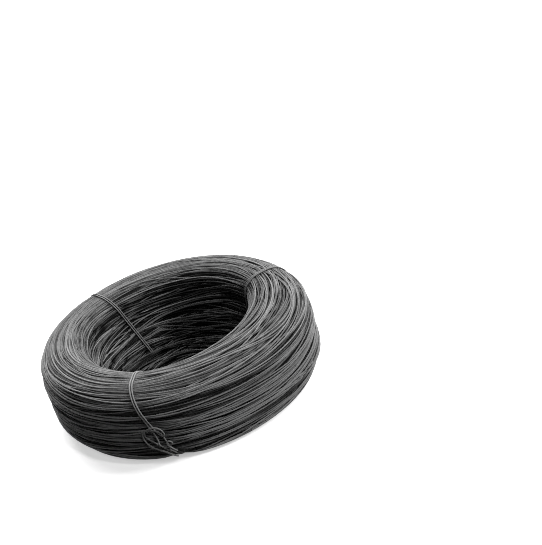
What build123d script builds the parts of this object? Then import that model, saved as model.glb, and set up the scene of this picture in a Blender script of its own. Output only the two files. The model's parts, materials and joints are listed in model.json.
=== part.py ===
"""Coil of black annealed wire, lying flat, bound by three doubled tie wires."""

import os
from math import cos, radians, sin, sqrt

from build123d import *

# Coil
coil_outer_diameter = 350.0
winding_width = 66.0  # from the bore to the outside
coil_height = 104.0
outer_corner_radius = 30.0
bore_corner_radius = 24.0
corner_limit_share = 0.47  # no corner takes more of the winding's width or height than this

# Turns of wire that show on the coil's ends and outside
wire_diameter = 2.2
turn_groove_depth = 0.7

# Tie wires
tie_diameter = 1.8
tie_strand_spacing = 3.6  # between the centre lines of a tie's two strands
tie_clearance = 0.3
tie_proud = 0.3  # how far a strand's centre line stands outside the coil's section
tie_bore_sink = 1.2  # how far the run in the bore lies inside the section, clear of what goes through
tie_floor_rise = 2.0  # centre line of the run under the coil, above the floor

# Knot of a tie, on the outside of the coil: the fold is an open eye that both tails pass over
eye_length = 19.0
eye_half_width = 8.0
eye_offset = 5.0
eye_bend_radius = 4.5
eye_ramp = 5.0  # height in which the strands rise out of the winding, below the eye
tail_length = 26.0
short_tail_length = 13.0
tail_slope = 0.12  # how far the tails drift sideways for each unit that they run down
tail_flare = 1.0
tail_ramp = 8.0  # height in which the tails rise to clear the eye
tail_bend_radius = 6.0

# Where each tie stands round the coil, and how far it leans sideways, in degrees
ties = {
    "tie_wire_right": (19.0, -9.0),
    "tie_wire_back_left": (120.0, 15.0),
    "tie_wire_front": (251.0, -19.0),
}

# Worked out from the sizes above
outer_radius = coil_outer_diameter / 2
bore_radius = outer_radius - winding_width
knot_room = 2 * eye_ramp + eye_length + 2 * tie_diameter + tail_ramp
outer_corner = min(outer_corner_radius, corner_limit_share * winding_width, (coil_height - knot_room) / 2)
bore_corner = min(bore_corner_radius, corner_limit_share * winding_width, corner_limit_share * coil_height)
turn_groove_side = turn_groove_depth * sqrt(2)
section_centre = (bore_radius + winding_width / 2, coil_height / 2)
tie_outer_turn = outer_corner + tie_proud
tie_bore_turn = bore_corner
tie_seat_depth = tie_diameter / 2 + tie_clearance
tie_seat_width = tie_strand_spacing + tie_diameter + 2 * tie_clearance


def tie_plane(angle, lean):
    """The plane that a tie lies in: its x points away from the coil's axis and its y up."""
    outward = Vector(cos(radians(angle)), sin(radians(angle)), 0)
    along = Vector(0, 0, 1).cross(outward)
    up = Vector(0, 0, 1) * cos(radians(lean)) + along * sin(radians(lean))
    middle = outward * section_centre[0] + Vector(0, 0, section_centre[1])
    return Plane(origin=middle, x_dir=outward, z_dir=outward.cross(up))


def tie_limits(lean):
    """The inner, outer, lower and upper lines that a tie's strands run along, in its plane."""
    inner = tie_bore_sink - winding_width / 2
    outer = winding_width / 2 + tie_proud
    low = (tie_floor_rise - coil_height / 2) / cos(radians(lean))
    high = (coil_height / 2 + tie_proud) / cos(radians(lean))
    return inner, outer, low, high


def tie_strand(lean, side):
    """Corner points and bend radii of one strand: from its tail, round the coil, to the top of the eye."""
    inner, outer, low, high = tie_limits(lean)
    strand = side * tie_strand_spacing / 2
    eye_face = outer - tie_proud + tie_seat_depth
    eye_foot = low + tie_outer_turn + 2 * eye_ramp
    eye_top = eye_foot + eye_length
    eye_side = eye_offset + side * eye_half_width
    tail_face = eye_face + tie_diameter + tie_clearance
    tail_top = eye_top + tie_diameter
    tail = tail_length if side < 0 else short_tail_length
    tail_tip = (tail_face + tail_flare, tail_top - tail, strand - tail_slope * tail)
    return [
        (tail_tip, None),
        ((tail_face, tail_top, strand), tail_bend_radius),
        ((outer, tail_top + tail_ramp, strand), tail_bend_radius),
        ((outer, high, strand), tie_outer_turn),
        ((inner, high, strand), tie_bore_turn),
        ((inner, low, strand), tie_bore_turn),
        ((outer, low, strand), tie_outer_turn),
        ((outer, eye_foot - eye_ramp, strand), eye_bend_radius),
        ((eye_face, eye_foot, strand), eye_bend_radius),
        ((eye_face, eye_top - eye_length / 2, eye_side), eye_bend_radius),
        ((eye_face, eye_top, eye_offset + side * eye_half_width / 2), eye_bend_radius),
    ]


os.makedirs("parts", exist_ok=True)

# The coil: one turned solid, with the gaps between its turns cut into its ends and outside
with BuildPart() as coil:
    with BuildSketch(Plane.XZ) as section:
        with Locations(section_centre):
            Rectangle(winding_width, coil_height)
        fillet(section.vertices().group_by(Axis.X)[-1], radius=outer_corner)
        fillet(section.vertices().group_by(Axis.X)[0], radius=bore_corner)
        gaps = []
        for edge in section.edges().sort_by(Axis.X)[1:]:
            turns = round(edge.length / wire_diameter)
            for turn in range(turns):
                gap_share = (turn + 0.5) / turns
                gaps.append(Location(edge @ gap_share, edge.tangent_angle_at(gap_share)))
        with Locations(*gaps):
            Rectangle(turn_groove_side, turn_groove_side, rotation=45, mode=Mode.SUBTRACT)
    revolve(axis=Axis.Z)

    # Each tie bites into the turns: a narrow waist all round the section
    for angle, lean in ties.values():
        inner, outer, low, high = tie_limits(lean)
        with BuildSketch(tie_plane(angle, lean).offset(-tie_seat_width / 2)):
            Rectangle(2 * winding_width, 2 * coil_height)
            with BuildSketch(mode=Mode.PRIVATE) as seat:
                with Locations(((inner + outer) / 2, (low + high) / 2)):
                    Rectangle(outer - inner - 2 * tie_seat_depth, high - low - 2 * tie_seat_depth)
                fillet(seat.vertices().group_by(Axis.X)[-1], radius=tie_outer_turn - tie_seat_depth)
                fillet(seat.vertices().group_by(Axis.X)[0], radius=tie_bore_turn - tie_seat_depth)
            add(seat.sketch, mode=Mode.SUBTRACT)
        extrude(amount=tie_seat_width, mode=Mode.SUBTRACT)
coil.part.label = "wire_coil"
export_step(coil.part, "parts/wire_coil.step")
print("wire_coil volume", coil.part.volume)

# The ties: each one length of wire, folded double and drawn tight round the turns
for name, (angle, lean) in ties.items():
    corners = tie_strand(lean, -1) + tie_strand(lean, 1)[::-1]
    points = [point for point, bend in corners]
    bends = [bend for point, bend in corners if bend]
    with BuildPart() as tie:
        with BuildLine(tie_plane(angle, lean)) as route:
            FilletPolyline(*points, radius=bends)
        path = route.wires()[0]
        with BuildSketch(Plane(origin=path @ 0, z_dir=path % 0)):
            Circle(tie_diameter / 2)
        sweep(path=path)
    tie.part.label = name
    export_step(tie.part, f"parts/{name}.step")
    print(name, "length", path.length, "volume", tie.part.volume)
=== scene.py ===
"""The looks of a coil of black annealed wire: its turns, its ties and a plain stage."""

import json
import math

import bmesh
import bpy
import numpy as np
from bpy.props import FloatProperty, FloatVectorProperty, IntProperty, PointerProperty
from mathutils import Matrix, Vector


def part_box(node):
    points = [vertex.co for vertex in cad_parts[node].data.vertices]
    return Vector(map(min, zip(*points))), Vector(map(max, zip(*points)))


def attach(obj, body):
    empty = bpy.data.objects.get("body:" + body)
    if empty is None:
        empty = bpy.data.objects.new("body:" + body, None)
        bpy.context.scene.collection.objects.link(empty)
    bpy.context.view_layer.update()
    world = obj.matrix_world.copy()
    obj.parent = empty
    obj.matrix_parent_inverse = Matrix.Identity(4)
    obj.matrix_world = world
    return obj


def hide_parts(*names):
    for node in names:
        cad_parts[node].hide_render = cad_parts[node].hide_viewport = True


bl_info = {
    "name": "Wire coil",
    "version": (1, 0, 0),
    "blender": (4, 5, 0),
    "location": "View3D > Sidebar > Wire coil",
    "description": "Winds a coil of annealed wire on its solid, ties it and sets a plain stage",
    "category": "Add Mesh",
}

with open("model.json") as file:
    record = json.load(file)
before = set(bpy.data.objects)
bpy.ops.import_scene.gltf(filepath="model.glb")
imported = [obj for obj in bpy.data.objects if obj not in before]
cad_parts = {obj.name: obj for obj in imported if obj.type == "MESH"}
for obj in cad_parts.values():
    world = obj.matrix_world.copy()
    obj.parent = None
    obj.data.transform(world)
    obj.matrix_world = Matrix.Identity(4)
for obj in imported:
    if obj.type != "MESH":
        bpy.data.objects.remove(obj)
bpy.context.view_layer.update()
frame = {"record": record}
MM = 0.001

# The coil's solid and its bore give the section that the turns are wound to
COIL_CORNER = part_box("wire_coil")[1]
BORE = next(mount for mount in frame["record"]["mounts"] if mount["kind"] == "bore")
OUTER_RADIUS = COIL_CORNER.x
HEIGHT = COIL_CORNER.z
BORE_RADIUS = BORE["dims"]["r_mm"] * MM
BORE_CORNER = (HEIGHT - BORE["dims"]["length_mm"] * MM) / 2
WALL = OUTER_RADIUS - BORE_RADIUS

# Each tie stands at an angle round the coil and leans sideways, in degrees
TIES = {
    "tie_wire_right": (19.0, -9.0),
    "tie_wire_back_left": (120.0, 15.0),
    "tie_wire_front": (251.0, -19.0),
}

# The bent ends of a tie, in millimetres: down from its knot, across it and out from the coil
LONG_TAIL = [
    (40, 0, 3.6), (32, -1.5, 3.8), (25, -5, 3.8), (19, -12, 3.8), (12, -16, 3.8), (4, -16, 3.8),
    (-3, -12.5, 3.8), (-9, -4, 4.6), (-11, 3, 4.6), (-9, 8, 3.8), (-4, 10, 3.4), (2, 9, 3.0),
    (4, 5.5, 2.6), (-1, 3, 2.2), (-8, 2, 1.4),
]
EYE = [
    (22, -3, 1.6), (14, -6.5, 2.6), (8, -10, 2.8), (2, -13, 2.8), (-4, -10, 2.8), (-6, -4, 3.0),
    (-5, 3, 2.8), (1, 6, 2.2), (9, 5, 1.8), (20, 3, 1.2),
]
SHORT_TAIL = [
    (-8, -1.5, 1.6), (2, -1, 3.2), (9, -2, 4.2), (14, -4, 4.2), (18, -2, 4.0), (18.5, 3, 4.0),
    (15.5, 9, 4.4), (12.5, 11.5, 4.8), (10, 8.5, 5.0), (13, 5, 5.0), (19, 5.5, 4.2), (26, 8.5, 4.0),
]
RUN_ABOVE_KNOT, RUN_BELOW_KNOT = 18 * MM, 30 * MM  # where a run round the coil starts and ends
RUN_POINTS = 14
TIE_STEP = 2.5 * MM  # between the points that a tie is drawn with

# Points that each turn is drawn with
SEGMENTS = 88
ANGLES = np.arange(SEGMENTS) * 2 * math.pi / SEGMENTS

# How the heap of turns is evened out: over what width across them, and over how many segments along them
HEAP_STEP = 1 * MM
TIGHT_SWELL = (5 * MM, 4)
LOOSE_SWELL = (14 * MM, 6)

# How the turns lie by the way they face, where one is straight up, down or outwards
TIGHT_FACING = 0.85  # how far up they face where they begin to lie quite tight
TIGHT_SHIFT = 0.15  # added to that outside and taken from it in the bore
FACES_DOWN = 0.1  # how far down they face before the floor can stop them
UPRIGHT = 0.9  # how far outwards they face on the upright outside
SPAN_EDGE = 0.25  # power that makes the loose span nearly as loose beside its ties as halfway
SLIDE_CURVE = 1.5  # power that keeps the slide near the foot of the bore
BED_WANDER = 0.1  # how far the bed's turns stray, in thicknesses of the wire
BAND_FAN = 0.2  # how much a band opens and closes along its way

# Ranges that the slack turns are drawn from: shares of their sizes, or thicknesses into the winding
LEANING_HANG, LEANING_WALL, LEANING_TILT = (0.1, 1.0), (0.6, 2.5), (0.2, 1.0)
FALLEN_HANG, FALLEN_WALL, FALLEN_TILT = (0.15, 1.0), (0.0, 3.0), (0.1, 0.6)
FALLEN_SIDE = (0.0, 0.9 * math.pi)  # the side of the bore where they stand off its wall
SLACK_FOOT = (0.1, 1.0)

# Finish of the scale on the wire
PATCH_SHARE = 0.5  # how much of a tone its patches shift
PATCH_RANGE = (0.3, 0.7)  # what the noise mostly keeps to
DARK_TONE, LIGHT_TONE = 0.2, 1.0  # tones at which the scale is darkest and lightest
SMOOTH, ROUGH = 0.3, 0.45  # roughness of the darker and the lighter patches
SHINE = 0.05

# The photo's frame and the view fitted to it
PHOTO_WIDTH, PHOTO_HEIGHT = 542, 545
COIL_CENTRE_PIXEL = (180.8, 348.7)
FOCAL_PIXELS = 1050.0
SENSOR_WIDTH = 36
CAMERA_DISTANCE = 7.82 * OUTER_RADIUS
CAMERA_ELEVATION = math.radians(29.65)
CAMERA_ROLL = math.radians(-17.6)
PIXEL_BLUR = 1.0  # in pixels

# Each window's direction, strength and width in degrees
WINDOWS = {
    "high_window": ((0.25, 1.0, 1.0), 6.1, 75),
    "front_window": ((0.5, -0.9, 1.4), 0.8, 10),
    "side_window": ((1.0, -0.35, 0.6), 2.4, 15),
}
ROOM_GLOW = 0.015  # strength of the light from all round
FLOOR_GLOW = 0.58  # keeps the shadow on the floor light
FLOOR_REACH = 20.0  # half of the floor's side, in metres
# Inside the first radius the floor is painted near black as painted shade in the bore; past the second it
# shows white
PAINTED_SHADE_FLOOR, WHITE_FLOOR = 130 * MM, 165 * MM  # radii that both lie under the coil
FLOOR_ROUGHNESS = 0.9


def linear(code):
    """A colour written as sRGB hex, as linear red, green and blue."""
    parts = [int(code[at : at + 2], 16) / 255 for at in (0, 2, 4)]
    return tuple(part / 12.92 if part <= 0.04045 else ((part + 0.055) / 1.055) ** 2.4 for part in parts)


class CoilSizes(bpy.types.PropertyGroup):
    """Sizes of the wire and of the way it is wound"""

    wire_diameter: FloatProperty(
        name="Wire diameter", description="Thickness of the wound wire", default=1.8 * MM, unit="LENGTH"
    )
    outer_corner: FloatProperty(
        name="Outer corner", description="Radius of the section's outer corners",
        default=30 * MM, unit="LENGTH",
    )
    bore_foot: FloatProperty(
        name="Bore foot", description="Radius of the section's corner at the foot of the bore",
        default=8 * MM, unit="LENGTH",
    )
    layers: IntProperty(name="Layers", description="Layers of banded turns on the even bed", default=4)
    band_turns: IntProperty(name="Turns in a band", description="Turns that run side by side", default=4)
    band_change: IntProperty(
        name="Band change", description="How many turns a band may have more or less", default=2
    )
    turn_pitch: FloatProperty(
        name="Turn pitch", description="Between neighbouring turns of a layer",
        default=3.0 * MM, unit="LENGTH",
    )
    band_reach: FloatProperty(
        name="Band wander", description="How far a band strays across the section",
        default=7 * MM, unit="LENGTH",
    )
    turn_reach: FloatProperty(
        name="Turn wander", description="How far one turn strays within its band",
        default=1.5 * MM, unit="LENGTH",
    )
    stray_turns: IntProperty(name="Stray turns", description="Turns that cross the rest", default=2)
    stray_reach: FloatProperty(
        name="Stray wander", description="How far a stray turn wanders", default=14 * MM, unit="LENGTH"
    )
    proud: FloatProperty(
        name="Proud", description="How far the highest turn stands out of the section",
        default=1.5 * MM, unit="LENGTH",
    )
    valley: FloatProperty(
        name="Valley", description="Depth of the valleys between bands", default=4.2 * MM, unit="LENGTH"
    )
    top_relief: FloatProperty(
        name="Top relief", description="Share of the heap's rises that shows on the tight top",
        default=0.2, subtype="FACTOR",
    )
    span_relief: FloatProperty(
        name="Span relief", description="Share that shows at least, along the loose span",
        default=0.55, subtype="FACTOR",
    )
    low_relief: FloatProperty(
        name="Low relief", description="Share that is added where turns face down",
        default=0.5, subtype="FACTOR",
    )
    wall_relief: FloatProperty(
        name="Wall relief", description="Share that is added on the upright outside",
        default=0.15, subtype="FACTOR",
    )
    loose_sag: FloatProperty(
        name="Loose sag", description="How far the loose span sags into the bore",
        default=14 * MM, unit="LENGTH",
    )
    tight_draw: FloatProperty(
        name="Tight draw", description="How far the other spans are drawn out of the bore",
        default=1 * MM, unit="LENGTH",
    )
    outer_sag: FloatProperty(
        name="Outer sag", description="How far the loose span swells outwards", default=2 * MM, unit="LENGTH"
    )
    foot_slide: FloatProperty(
        name="Foot slide", description="How far the turns at the foot of the bore have slid inwards",
        default=12 * MM, unit="LENGTH",
    )
    slide_height: FloatProperty(
        name="Slide height", description="Height in the bore below which turns have slid inwards",
        default=0.8 * HEIGHT, unit="LENGTH",
    )
    shear: FloatProperty(
        name="Shear", description="How far the top has slid sideways over the foot",
        default=-3 * MM, unit="LENGTH",
    )
    leaning_turns: IntProperty(
        name="Leaning turns", description="Slack turns that lean on the bore", default=24
    )
    leaning_reach: FloatProperty(
        name="Leaning reach", description="How far a leaning turn stands off the bore",
        default=12 * MM, unit="LENGTH",
    )
    leaning_height: FloatProperty(
        name="Leaning height", description="How much higher a leaning turn's high side is",
        default=60 * MM, unit="LENGTH",
    )
    fallen_turns: IntProperty(name="Fallen turns", description="Turns that lie free in the bore", default=56)
    fallen_reach: FloatProperty(
        name="Fallen reach", description="How far a fallen turn lies from the bore's wall",
        default=48 * MM, unit="LENGTH",
    )
    fallen_height: FloatProperty(
        name="Fallen height", description="How high the fallen turns lie on each other",
        default=11 * MM, unit="LENGTH",
    )
    seed: IntProperty(name="Seed", description="Start of the random draws", default=8)


class TieSizes(bpy.types.PropertyGroup):
    """Sizes of the ties"""

    diameter: FloatProperty(
        name="Tie diameter", description="Thickness of the tie wire", default=1.8 * MM, unit="LENGTH"
    )
    spacing: FloatProperty(
        name="Strand spacing", description="Between the two strands of a tie",
        default=2.8 * MM, unit="LENGTH",
    )
    proud: FloatProperty(
        name="Tie proud", description="How far a strand's centre stands out of the section",
        default=0.8 * MM, unit="LENGTH",
    )
    press: FloatProperty(
        name="Tie press", description="How far along the turns a tie presses them down",
        default=12 * MM, unit="LENGTH",
    )
    floor_sink: FloatProperty(
        name="Floor sink", description="How far a strand lies inside the section under the coil",
        default=2 * MM, unit="LENGTH",
    )
    knot_height: FloatProperty(
        name="Knot height", description="Middle of the knot above the floor", default=50 * MM, unit="LENGTH"
    )


class OxideAndShadeTones(bpy.types.PropertyGroup):
    """How light the turns are, from dark at zero to light at one: the oxide's own greys, with painted shade
    and painted light
    """

    mean: FloatProperty(name="Mean", description="Tone on top of the coil", default=0.43, subtype="FACTOR")
    # Painted light and painted shade: lighter where a turn faces outwards, darker where it faces the bore
    outward_painted_light: FloatProperty(
        name="Outward", description="Added where a turn faces outwards and taken where it faces the bore",
        default=0.13, subtype="FACTOR",
    )
    # Painted shade, deeper still where a turn faces the bore
    bore_shade: FloatProperty(
        name="Bore shade", description="Taken as well where a turn faces the bore",
        default=0.07, subtype="FACTOR",
    )
    top_spread: FloatProperty(
        name="Top spread", description="Difference between turns on the top", default=0.22, subtype="FACTOR"
    )
    side_spread: FloatProperty(
        name="Side spread", description="Difference that is added on the sides",
        default=0.98, subtype="FACTOR",
    )
    span_spread: FloatProperty(
        name="Span spread", description="Difference that is added along the loose span",
        default=0.25, subtype="FACTOR",
    )
    drift: FloatProperty(
        name="Drift", description="How far the tone drifts along a turn", default=0.12, subtype="FACTOR"
    )
    # Painted shade and painted light: turns low in the valleys are darkened and proud turns are lightened
    painted_light_rise: FloatProperty(
        name="Full rise", description="Rise of a turn that takes its tone from dark to light",
        default=5 * MM, unit="LENGTH",
    )
    # Painted shade: the slack turns in the bore are darkened to this share of their tone
    slack_painted_shade: FloatProperty(
        name="Slack share", description="Share of the tone that slack turns keep",
        default=0.44, subtype="FACTOR",
    )
    tie: FloatProperty(name="Tie", description="Tone of the tie wires", default=1.0, subtype="FACTOR")


class CoilColours(bpy.types.PropertyGroup):
    """Colours of the wire and of the stage"""

    oxide: FloatVectorProperty(
        name="Oxide", description="Annealing scale on the wire", subtype="COLOR", default=linear("7c7c7c")
    )
    # The dark end of the tones: thick scale in patches, and also where painted shade darkens the turns
    dark_oxide_and_shade: FloatVectorProperty(
        name="Dark oxide", description="Thicker scale, in patches", subtype="COLOR", default=linear("121212")
    )
    patch_size: FloatProperty(
        name="Patch size", description="Width of the patches of scale", default=18 * MM, unit="LENGTH"
    )
    floor: FloatVectorProperty(
        name="Floor", description="Stage floor as seen", subtype="COLOR", default=linear("eeeeee")
    )
    # Painted shade: the floor in the bore is coloured near black where only shade falls
    bore_floor_painted_shade: FloatVectorProperty(
        name="Bore floor", description="Stage floor in the bore", subtype="COLOR", default=linear("0a0a0a")
    )
    floor_bounce: FloatVectorProperty(
        name="Floor bounce", description="Stage floor as it lights the coil",
        subtype="COLOR", default=linear("202020"),
    )


def add_node(tree, kind, settings=None, **links):
    """Adds one node, with its settings, and joins or fills the inputs that are named."""
    node = tree.nodes.new(kind)
    for name, value in (settings or {}).items():
        setattr(node, name, value)
    for name, value in links.items():
        socket = node.inputs[int(name[1:])] if name[0] == "i" and name[1:].isdigit() else node.inputs[name]
        if isinstance(value, bpy.types.NodeSocket):
            tree.links.new(value, socket)
        else:
            socket.default_value = value
    return node


def annealed_wire(name, colours):
    """Black annealed steel: wire drawn round and smooth, then scaled in the furnace."""
    # The scale is an oxide and not bare metal: each turn shows a long satin streak, in patches of grey
    material = bpy.data.materials.new(name)
    material.use_nodes = True
    tree = material.node_tree
    shader = tree.nodes["Principled BSDF"]
    place = add_node(tree, "ShaderNodeTexCoord").outputs["Object"]
    # The turn_tone attribute holds each turn's own grey together with painted shade and painted light from
    # how the turns lie
    tone = add_node(tree, "ShaderNodeAttribute", {"attribute_name": "turn_tone"}).outputs["Fac"]
    patches = add_node(
        tree, "ShaderNodeTexNoise", Vector=place, Scale=1 / colours.patch_size, Detail=3.0
    ).outputs["Fac"]
    mixed = add_node(
        tree, "ShaderNodeMath", {"operation": "MULTIPLY_ADD"}, i0=patches, i1=PATCH_SHARE, i2=tone
    ).outputs[0]
    ramp = add_node(tree, "ShaderNodeValToRGB", Fac=mixed)
    ramp.color_ramp.elements[0].position = DARK_TONE
    ramp.color_ramp.elements[0].color = (*colours.dark_oxide_and_shade, 1)
    ramp.color_ramp.elements[1].position = LIGHT_TONE
    ramp.color_ramp.elements[1].color = (*colours.oxide, 1)
    tree.links.new(ramp.outputs["Color"], shader.inputs["Base Color"])
    low, high = PATCH_RANGE
    gloss = add_node(tree, "ShaderNodeMapRange", i0=patches, i1=low, i2=high, i3=SMOOTH, i4=ROUGH)
    tree.links.new(gloss.outputs["Result"], shader.inputs["Roughness"])
    shader.inputs["Specular IOR Level"].default_value = SHINE
    return material


def section_runs(sizes):
    """The runs of the section's outline, clockwise from the foot of the bore.

    Each has its start, or its centre where it bends, its first facing, its length and its bend's radius.
    """
    outer, bore, foot = sizes.outer_corner, BORE_CORNER, sizes.bore_foot
    quarter = math.pi / 2
    return [
        ((BORE_RADIUS, foot), math.pi, HEIGHT - bore - foot, 0),
        ((BORE_RADIUS + bore, HEIGHT - bore), math.pi, quarter * bore, bore),
        ((BORE_RADIUS + bore, HEIGHT), quarter, WALL - outer - bore, 0),
        ((OUTER_RADIUS - outer, HEIGHT - outer), quarter, quarter * outer, outer),
        ((OUTER_RADIUS, HEIGHT - outer), 0, HEIGHT - 2 * outer, 0),
        ((OUTER_RADIUS - outer, outer), 0, quarter * outer, outer),
        ((OUTER_RADIUS - outer, 0), -quarter, WALL - outer - foot, 0),
        ((BORE_RADIUS + foot, foot), -quarter, quarter * foot, foot),
    ]


def section_places(sizes, along):
    """Radius, height and facing of the section's outline at distances along it."""
    radius, height, facing = np.zeros_like(along), np.zeros_like(along), np.zeros_like(along)
    start = 0.0
    for (start_radius, start_height), angle, length, bend in section_runs(sizes):
        here = (along >= start) & (along <= start + length)
        gone = along[here] - start
        turned = angle - (gone / bend if bend else 0 * gone)
        facing[here] = turned
        radius[here] = start_radius + (bend * np.cos(turned) if bend else gone * math.sin(angle))
        height[here] = start_height + (bend * np.sin(turned) if bend else -gone * math.cos(angle))
        start += length
    return radius, height, facing


def perimeter_of(sizes):
    """Length of the section's outline."""
    return sum(length for _, _, length, _ in section_runs(sizes))


def tie_spans(angle):
    """How far each span between two ties swells at an angle, from none at the ties to one halfway."""
    tie_angles = sorted(math.radians(at) for at, _ in TIES.values())
    swells = []
    for start, end in zip(tie_angles, tie_angles[1:] + tie_angles[:1]):
        width = (end - start) % (2 * math.pi)
        swells.append(np.sin(np.pi * np.clip((angle - start) % (2 * math.pi) / width, 0, 1)))
    return swells


def loose_span():
    """About one along the whole loose span, which is the last, and none elsewhere."""
    return tie_spans(ANGLES)[-1] ** SPAN_EDGE


def slumped(sizes, radius, height, angle):
    """Points of the coil as it has settled.

    The loose span sags into the bore, the foot of the bore slides inwards and the top leans to one side.
    """
    inside = np.clip(1 - (radius - BORE_RADIUS) / WALL, 0, 1)
    *tight, loose = tie_spans(angle)
    radius = radius + sum(tight) * sizes.tight_draw * inside
    radius = radius + loose * (sizes.outer_sag * (1 - inside) - sizes.loose_sag * inside)
    low = np.clip(1 - height / sizes.slide_height, 0, 1)
    radius = radius - sizes.foot_slide * inside**2 * low**SLIDE_CURVE
    slid = sizes.shear * (height / HEIGHT - 0.5)
    return np.stack([radius * np.cos(angle) + slid, radius * np.sin(angle), height], axis=-1)


def wander(rng, count, reach, waves):
    """Smooth closed lines round the coil that stray to either side of zero."""
    wave = np.arange(1, waves + 1)
    size = rng.normal(0, 1, (count, waves)) * reach / wave
    phase = rng.uniform(0, 2 * math.pi, (count, waves))
    return np.einsum("cw,cwa->ca", size, np.cos(wave[:, None] * ANGLES + phase[:, :, None]))


def smoothed(lines, spread):
    """Lines round the coil, evened out over a spread in segments, as stiff wire bridges a hollow."""
    wave = np.fft.rfftfreq(SEGMENTS)
    fade = np.exp(-2 * (math.pi * wave * spread) ** 2)
    return np.fft.irfft(np.fft.rfft(lines, axis=-1) * fade, SEGMENTS, axis=-1)


def turn_places(sizes):
    """Where each turn runs along the section's outline, in winding order, and how many are in the bed."""
    rng = np.random.default_rng(sizes.seed)
    perimeter = perimeter_of(sizes)
    in_layer = int(perimeter / sizes.turn_pitch)
    bands = round(in_layer / sizes.band_turns)
    in_bed = int(perimeter / sizes.wire_diameter)
    even = np.arange(in_bed)[:, None] * perimeter / in_bed
    lines = [even + wander(rng, in_bed, BED_WANDER * sizes.wire_diameter, waves=5)]
    fewest, most = sizes.band_turns - sizes.band_change, sizes.band_turns + sizes.band_change
    for _ in range(sizes.layers):
        own = (rng.permutation(bands) + rng.uniform(0, 1)) * perimeter / bands
        routes = own[:, None] + wander(rng, bands, sizes.band_reach, waves=4)
        fan = 1 + wander(rng, bands, BAND_FAN, waves=3)
        counts = rng.integers(fewest, most, bands, endpoint=True)
        band = np.repeat(np.arange(bands), counts)
        rank = np.concatenate([rng.permutation(count) - (count - 1) / 2 for count in counts])
        offset = rank[:, None] * sizes.turn_pitch * fan[band]
        lines.append(routes[band] + offset + wander(rng, len(band), sizes.turn_reach, waves=9))
    strays = rng.uniform(0, perimeter, (sizes.stray_turns, 1))
    lines.append(strays + wander(rng, sizes.stray_turns, sizes.stray_reach, waves=4))
    return np.concatenate(lines) % perimeter, in_bed


def way_between(sizes, start, end):
    """How far it is between places on the section's outline, the shorter way round."""
    perimeter = perimeter_of(sizes)
    return (end - start + perimeter / 2) % perimeter - perimeter / 2


def lay_turns(sizes):
    """Lays the turns in order, each resting on those below it: their places and their rises from the bed."""
    places, in_bed = turn_places(sizes)
    diameter = sizes.wire_diameter
    rises = np.zeros_like(places)
    for turn in range(in_bed, len(places)):
        apart = way_between(sizes, places[:turn], places[turn])
        rest = np.sqrt(np.maximum(diameter**2 - apart**2, 0))
        support = np.where(rest > 0, rises[:turn] + rest, 0).max(axis=0)
        # It bridges hollows, and bites at most a quarter of its thickness into what it rests on
        rises[turn] = np.maximum(smoothed(support, spread=2.0), support - diameter / 4)
    return places, rises


def levelled(sizes, places, rises, looseness):
    """Rises counted from the heap's swells: short ones where the turns lie tight, long ones elsewhere."""
    grid = np.arange(0, perimeter_of(sizes), HEAP_STEP)
    top = np.zeros((len(grid), SEGMENTS))
    radius = sizes.wire_diameter / 2
    for place, rise in zip(places, rises):
        apart = way_between(sizes, place, grid[:, None])
        crest = np.sqrt(np.maximum(radius**2 - apart**2, 0))
        top = np.maximum(top, np.where(crest > 0, rise + crest, 0))
    wave_across = np.fft.fftfreq(len(grid), HEAP_STEP)[:, None]
    wave_along = np.fft.fftfreq(SEGMENTS)[None, :]
    row = np.minimum((places / HEAP_STEP).astype(int), len(grid) - 1)
    swells = []
    for width, segments in (TIGHT_SWELL, LOOSE_SWELL):
        fade = np.exp(-2 * math.pi**2 * ((wave_across * width) ** 2 + (wave_along * segments) ** 2))
        swells.append(np.fft.ifft2(np.fft.fft2(top) * fade).real[row, np.arange(SEGMENTS)])
    return rises - swells[0] * (1 - looseness) - swells[1] * looseness


def heaped(sizes, places, rises, facing):
    """Rises as they show: little on the tight top, more along the loose span and most low outside."""
    tight_from = TIGHT_FACING + TIGHT_SHIFT * np.cos(facing)
    looseness = np.clip(1 - np.sin(facing) / tight_from, 0, 1)
    relief = sizes.top_relief + (1 - sizes.top_relief) * looseness
    relief = np.maximum(relief, sizes.span_relief * loose_span())
    relief = relief + sizes.low_relief * np.clip(-np.sin(facing), 0, 1)
    relief = relief + sizes.wall_relief * (np.cos(facing) > UPRIGHT)
    rises = levelled(sizes, places, rises, looseness) * relief
    most = np.where(rises > 0, sizes.proud, sizes.valley)
    return most * np.tanh(rises / most)


def tie_nearness(radius, height, reach):
    """One where a tie presses on the turns, falling to nothing along them."""
    near = np.zeros_like(radius)
    for angle, lean in TIES.values():
        shift = (height - HEIGHT / 2) * math.tan(math.radians(lean))
        at = math.radians(angle) + np.arctan2(shift, radius)
        apart = (ANGLES - at + math.pi) % (2 * math.pi) - math.pi
        near = np.maximum(near, np.exp(-((apart * radius / reach) ** 2)))
    return near


def wound_lines(sizes, ties):
    """Centre lines of the wound turns, with their places on the outline, their rises and their facing."""
    places, rises = lay_turns(sizes)
    radius, height, facing = section_places(sizes, places)
    rises = heaped(sizes, places, rises, facing)
    wire = sizes.wire_diameter / 2
    under = np.maximum(-np.sin(facing), 0)
    tie_cap = ties.proud - ties.floor_sink * under - ties.diameter / 2 - wire
    cap = sizes.proud + (tie_cap - sizes.proud) * tie_nearness(radius, height, ties.press)
    floor_cap = np.where(under > FACES_DOWN, (height - wire) / np.maximum(under, FACES_DOWN), HEIGHT)
    cap = np.minimum(cap, floor_cap)
    rises = np.minimum(smoothed(np.minimum(rises, cap), spread=0.8), cap)
    radius = radius + rises * np.cos(facing)
    height = height + rises * np.sin(facing)
    return slumped(sizes, radius, height, ANGLES), places, rises, facing


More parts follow.
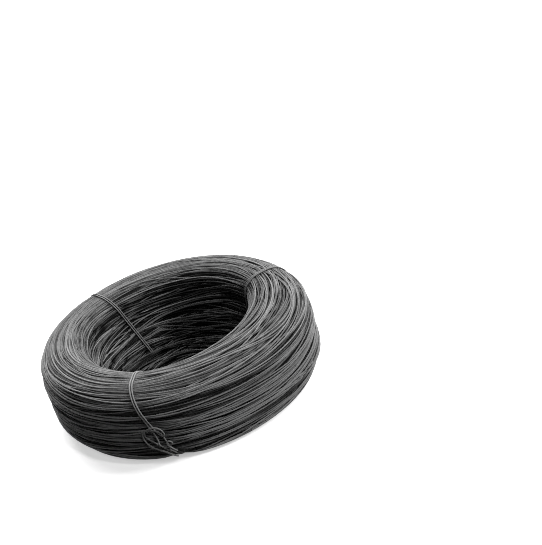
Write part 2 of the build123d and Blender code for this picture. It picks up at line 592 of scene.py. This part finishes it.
def leaning_lines(sizes):
    """Centre lines of the turns that lean slack on the bore's wall and are held by the ties."""
    rng = np.random.default_rng(sizes.seed + 2)
    each = (sizes.leaning_turns, 1)
    hang = sum(span**2 * rng.uniform(*LEANING_HANG, each) for span in tie_spans(ANGLES))
    wall = BORE_RADIUS + sizes.wire_diameter * rng.uniform(*LEANING_WALL, each)
    lean = sizes.leaning_height * rng.uniform(*LEANING_TILT, each)
    low = sizes.fallen_height * rng.uniform(*SLACK_FOOT, each)
    height = low + lean * (1 + np.cos(ANGLES - rng.uniform(0, 2 * math.pi, each))) / 2
    return slumped(sizes, wall - sizes.leaning_reach * hang, height, ANGLES)


def fallen_lines(sizes):
    """Centre lines of the turns that have sprung free and lie low in the bore, off its wall at the back."""
    rng = np.random.default_rng(sizes.seed + 3)
    each = (sizes.fallen_turns, 1)
    side = rng.uniform(*FALLEN_SIDE, each)
    hang = rng.uniform(*FALLEN_HANG, each) * (1 + np.cos(ANGLES - side)) / 2
    wall = BORE_RADIUS + sizes.wire_diameter * rng.uniform(*FALLEN_WALL, each)
    low = sizes.fallen_height * rng.uniform(*SLACK_FOOT, each)
    tilt = rng.uniform(*FALLEN_TILT, each) * np.cos(ANGLES - rng.uniform(0, 2 * math.pi, each))
    return slumped(sizes, wall - sizes.fallen_reach * hang, low * (1 + tilt), ANGLES)


def turn_tones(sizes, oxide, rises, facing, slack_count):
    """How light each turn is along its length: even on the top and mixed elsewhere, with painted shade in
    valleys, in the bore and on the slack turns, and painted light on proud turns and where turns face
    outwards.
    """
    rng = np.random.default_rng(sizes.seed + 1)
    sideways = np.clip(1 - np.sin(facing), 0, 1)
    spread = oxide.top_spread + oxide.side_spread * sideways + oxide.span_spread * loose_span()
    # Painted light where a turn faces outwards and painted shade where it faces the bore, and each turn's
    # own random grey
    tones = oxide.mean + oxide.outward_painted_light * np.cos(facing) + spread * rng.uniform(-0.5, 0.5, (len(rises), 1))
    # Drift along each turn, then painted shade for turns low in the valleys and painted light for proud ones
    tones = tones + wander(rng, len(rises), oxide.drift, waves=7) + rises / oxide.painted_light_rise
    # Painted shade where a turn faces the bore
    tones = tones - oxide.bore_shade * np.clip(-np.cos(facing), 0, 1)
    # Painted shade: the slack turns in the bore are darkened
    tones[-slack_count:] *= oxide.slack_painted_shade
    return tones


def tube_mesh(name, lines, diameter, closed=True, rounding=1):
    """Round wire along each line, as one mesh."""
    curve = bpy.data.curves.new(name, "CURVE")
    curve.dimensions = "3D"
    curve.bevel_depth = diameter / 2
    curve.bevel_resolution = rounding
    curve.use_fill_caps = not closed
    for line in lines:
        spline = curve.splines.new("POLY")
        spline.points.add(len(line) - 1)
        spline.points.foreach_set("co", np.hstack([line, np.ones((len(line), 1))]).ravel())
        spline.use_cyclic_u = closed
    route = bpy.data.objects.new(name + "_route", curve)
    bpy.context.scene.collection.objects.link(route)
    bpy.context.view_layer.update()
    mesh = bpy.data.meshes.new_from_object(route.evaluated_get(bpy.context.evaluated_depsgraph_get()))
    bpy.data.objects.remove(route)
    bpy.data.curves.remove(curve)
    mesh.name = name
    mesh.shade_smooth()
    return mesh


def set_tones(mesh, tones):
    """Gives a mesh of tubes the tone of each point of its lines."""
    around = len(mesh.vertices) // tones.size
    layer = mesh.attributes.new("turn_tone", "FLOAT", "POINT")
    layer.data.foreach_set("value", np.repeat(tones.ravel(), around))


def add_piece(name, mesh, material, slot, *nodes):
    """Puts a finished mesh in the scene as a piece that stands for nodes of the solid model."""
    mesh.materials.append(material)
    piece = bpy.data.objects.new(name, mesh)
    bpy.context.scene.collection.objects.link(piece)
    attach(piece, "root")
    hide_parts(*nodes)


class COIL_OT_wind_turns(bpy.types.Operator):
    """Winds the turns of wire on the coil's section"""

    bl_idname = "coil.wind_turns"
    bl_label = "Wind turns"

    def execute(self, context):
        scene = context.scene
        sizes = scene.coil_sizes
        material = annealed_wire("black_annealed_wire", scene.coil_colours)
        wound, places, rises, facing = wound_lines(sizes, scene.tie_sizes)
        slack = np.concatenate([leaning_lines(sizes), fallen_lines(sizes)])
        lines = np.concatenate([wound, slack])
        # Slack turns count as lying at the start of the outline, flat on it and facing the bore, so they
        # take the painted shade of turns that face the bore
        none = np.zeros(slack.shape[:2])
        places = np.concatenate([places, none])
        rises = np.concatenate([rises, none])
        facing = np.concatenate([facing, none + math.pi])
        tones = turn_tones(sizes, scene.oxide_tones, rises, facing, len(slack))
        stretches = ("bore", "top", "outside", "underside")
        stretch = np.argsort(np.argsort(places.mean(axis=1))) * len(stretches) // len(places)
        for number, name in enumerate(stretches):
            chosen = np.flatnonzero(stretch == number)
            mesh = tube_mesh("turns_" + name, lines[chosen], sizes.wire_diameter)
            set_tones(mesh, tones[chosen])
            add_piece("turns_" + name, mesh, material, "annealed_wire", "wire_coil")
        return {"FINISHED"}


def curved(points, step):
    """A smooth line through points, with a point at about every step."""
    points = np.asarray(points, float)
    padded = np.vstack([2 * points[0] - points[1], points, 2 * points[-1] - points[-2]])
    line = []
    for at in range(len(points) - 1):
        before, start, end, after = padded[at : at + 4]
        count = max(int(np.linalg.norm(end - start) / step), 2)
        share = (np.arange(count) / count)[:, None]
        line.append(
            start
            + 0.5 * share * (end - before)
            + share**2 * (before - 2.5 * start + 2 * end - 0.5 * after)
            + share**3 * (1.5 * (start - end) + 0.5 * (after - before))
        )
    return np.vstack([*line, points[-1:]])


def tie_route(sizes, ties):
    """One tie's whole length: tail, run round the coil, eye, run back and second tail.

    Its points are distances down from the knot, across the tie and out from the section.
    """
    perimeter = perimeter_of(sizes)
    long_tail, eye, short_tail = (np.array(part) * MM for part in (LONG_TAIL, EYE, SHORT_TAIL))
    runs = np.linspace(-RUN_ABOVE_KNOT, RUN_BELOW_KNOT - perimeter, RUN_POINTS)
    up = np.stack([runs, 0 * runs + ties.spacing / 2, 0 * runs + ties.proud], axis=-1)
    down = up[::-1] * (1, -1, 1)
    eye[:, 0] -= perimeter
    return curved(np.vstack([long_tail, up, eye, down, short_tail]), TIE_STEP)


def tie_points(sizes, ties, angle, lean):
    """A tie's route laid over the settled coil."""
    perimeter = perimeter_of(sizes)
    # The knot is on the upright outside, which comes after the first four runs of the outline
    to_outside = sum(length for _, _, length, _ in section_runs(sizes)[:4])
    knot = to_outside + HEIGHT - sizes.outer_corner - ties.knot_height
    down, across, rise = tie_route(sizes, ties).T
    radius, height, facing = section_places(sizes, (knot + down) % perimeter)
    rise = rise - ties.floor_sink * np.maximum(-np.sin(facing), 0)
    radius = radius + rise * np.cos(facing)
    height = height + rise * np.sin(facing)
    lean = math.radians(lean)
    side = (height - HEIGHT / 2) * math.tan(lean) + across / math.cos(lean)
    return slumped(sizes, radius, height, math.radians(angle) + np.arctan2(side, radius))


class COIL_OT_tie_turns(bpy.types.Operator):
    """Binds the turns with the doubled tie wires"""

    bl_idname = "coil.tie_turns"
    bl_label = "Tie turns"

    def execute(self, context):
        scene = context.scene
        material = annealed_wire("tie_wire_steel", scene.coil_colours)
        for name, (angle, lean) in TIES.items():
            line = tie_points(scene.coil_sizes, scene.tie_sizes, angle, lean)
            mesh = tube_mesh(name + "_bent", [line], scene.tie_sizes.diameter, closed=False, rounding=2)
            set_tones(mesh, np.full(len(mesh.vertices), scene.oxide_tones.tie))
            add_piece(name + "_bent", mesh, material, "tie_wire", name)
        return {"FINISHED"}


def seen_or_mirrored(tree):
    """One for what the camera sees straight, in a gloss or through glass."""
    path = add_node(tree, "ShaderNodeLightPath").outputs
    seen = add_node(
        tree, "ShaderNodeMath", {"operation": "MAXIMUM"}, i0=path["Is Camera Ray"], i1=path["Is Glossy Ray"]
    )
    return add_node(
        tree, "ShaderNodeMath", {"operation": "MAXIMUM"}, i0=seen.outputs[0], i1=path["Is Transmission Ray"]
    ).outputs[0]


def floor_paper(colours):
    """Matt paper: white with a light shadow round the coil, and painted near black in the bore as painted
    shade.
    """
    material = bpy.data.materials.new("floor_paper")
    material.use_nodes = True
    tree = material.node_tree
    paper = tree.nodes["Principled BSDF"]
    paper.inputs["Roughness"].default_value = FLOOR_ROUGHNESS
    paper.inputs["Specular IOR Level"].default_value = 0.0
    place = add_node(tree, "ShaderNodeTexCoord").outputs["Object"]
    out = add_node(tree, "ShaderNodeVectorMath", {"operation": "LENGTH"}, i0=place).outputs["Value"]
    outside = add_node(
        tree, "ShaderNodeMapRange", i0=out, i1=PAINTED_SHADE_FLOOR, i2=WHITE_FLOOR, i3=0.0, i4=1.0
    ).outputs[0]
    seen = add_node(
        tree, "ShaderNodeMath", {"operation": "MULTIPLY"}, i0=seen_or_mirrored(tree), i1=outside
    ).outputs[0]
    # Painted shade: in the bore the floor takes a near-black colour, both as seen and as it lights the coil
    bounce_or_painted_shade = add_node(
        tree, "ShaderNodeMix", {"data_type": "RGBA"}, i0=outside,
        i6=(*colours.bore_floor_painted_shade, 1), i7=(*colours.floor_bounce, 1),
    ).outputs[2]
    colour = add_node(
        tree, "ShaderNodeMix", {"data_type": "RGBA"}, i0=seen, i6=bounce_or_painted_shade, i7=(*colours.floor, 1)
    ).outputs[2]
    tree.links.new(colour, paper.inputs["Base Color"])
    white = add_node(tree, "ShaderNodeMath", {"operation": "MULTIPLY"}, i0=seen, i1=FLOOR_GLOW).outputs[0]
    paper.inputs["Emission Color"].default_value = (1, 1, 1, 1)
    tree.links.new(white, paper.inputs["Emission Strength"])
    return material


def lay_floor(scene):
    """A wide level floor under the coil."""
    build = bmesh.new()
    bmesh.ops.create_grid(build, x_segments=1, y_segments=1, size=FLOOR_REACH)
    mesh = bpy.data.meshes.new("floor")
    build.to_mesh(mesh)
    build.free()
    mesh.materials.append(floor_paper(scene.coil_colours))
    floor = bpy.data.objects.new("floor", mesh)
    scene.collection.objects.link(floor)


def light_room(scene):
    """A white room that gives the coil little light of its own, and far windows that light it."""
    world = bpy.data.worlds.new("studio")
    world.use_nodes = True
    scene.world = world
    tree = world.node_tree
    background = tree.nodes["Background"]
    level = add_node(
        tree, "ShaderNodeMapRange", i0=seen_or_mirrored(tree), i1=0.0, i2=1.0, i3=ROOM_GLOW, i4=1.0
    )
    tree.links.new(level.outputs["Result"], background.inputs["Strength"])
    background.inputs["Color"].default_value = (1, 1, 1, 1)
    for name, (direction, strength, width) in WINDOWS.items():
        light = bpy.data.lights.new(name, "SUN")
        light.energy = strength
        light.angle = math.radians(width)
        window = bpy.data.objects.new(name, light)
        scene.collection.objects.link(window)
        window.rotation_euler = (-Vector(direction)).to_track_quat("-Z", "Y").to_euler()


def look_through_photo():
    """The camera's place and turn, from the coil's centre in the photo, its tilt and its size there."""
    across = COIL_CENTRE_PIXEL[0] - PHOTO_WIDTH / 2
    down = COIL_CENTRE_PIXEL[1] - PHOTO_HEIGHT / 2
    to_coil = Vector((across / FOCAL_PIXELS, -down / FOCAL_PIXELS, -1)).normalized()
    up = Vector((0, 1, 0))
    up = (up - to_coil * up.dot(to_coil)).normalized()
    right = to_coil.cross(up)
    leaned = up * math.cos(CAMERA_ROLL) + right * math.sin(CAMERA_ROLL)
    axis = leaned * math.cos(CAMERA_ELEVATION) - to_coil * math.sin(CAMERA_ELEVATION)
    away = (to_coil - axis * axis.dot(to_coil)).normalized()
    side = away.cross(axis)
    turn = Matrix((side, away, axis))
    place = Vector((0, 0, HEIGHT / 2)) - turn @ (to_coil * CAMERA_DISTANCE)
    return Matrix.Translation(place) @ turn.to_4x4()


def place_camera(scene):
    """The camera, where the photo was taken from."""
    camera = bpy.data.objects.new("camera", bpy.data.cameras.new("camera"))
    scene.collection.objects.link(camera)
    camera.matrix_world = look_through_photo()
    camera.data.sensor_width = SENSOR_WIDTH
    camera.data.lens = FOCAL_PIXELS * SENSOR_WIDTH / max(PHOTO_WIDTH, PHOTO_HEIGHT)
    scene.camera = camera


class COIL_OT_set_stage(bpy.types.Operator):
    """Sets the floor, the light and the camera"""

    bl_idname = "coil.set_stage"
    bl_label = "Set stage"

    def execute(self, context):
        scene = context.scene
        scene.view_settings.view_transform = "Standard"
        scene.cycles.filter_width = PIXEL_BLUR
        lay_floor(scene)
        light_room(scene)
        place_camera(scene)
        return {"FINISHED"}


class COIL_PT_panel(bpy.types.Panel):
    """Lists the steps that dress the coil"""

    bl_idname = "COIL_PT_panel"
    bl_label = "Wire coil"
    bl_space_type = "VIEW_3D"
    bl_region_type = "UI"
    bl_category = "Wire coil"

    def draw(self, context):
        for step in STEPS:
            self.layout.operator(step.bl_idname)


STEPS = (COIL_OT_wind_turns, COIL_OT_tie_turns, COIL_OT_set_stage)
GROUPS = {
    "coil_sizes": CoilSizes,
    "tie_sizes": TieSizes,
    "oxide_tones": OxideAndShadeTones,
    "coil_colours": CoilColours,
}
CLASSES = (*GROUPS.values(), *STEPS, COIL_PT_panel)


def register():
    for cls in CLASSES:
        bpy.utils.register_class(cls)
    for name, group in GROUPS.items():
        setattr(bpy.types.Scene, name, PointerProperty(type=group))


def unregister():
    for name in GROUPS:
        delattr(bpy.types.Scene, name)
    for cls in reversed(CLASSES):
        bpy.utils.unregister_class(cls)


def main():
    register()
    bpy.ops.coil.wind_turns()
    bpy.ops.coil.tie_turns()
    bpy.ops.coil.set_stage()


if __name__ == "__main__":
    main()
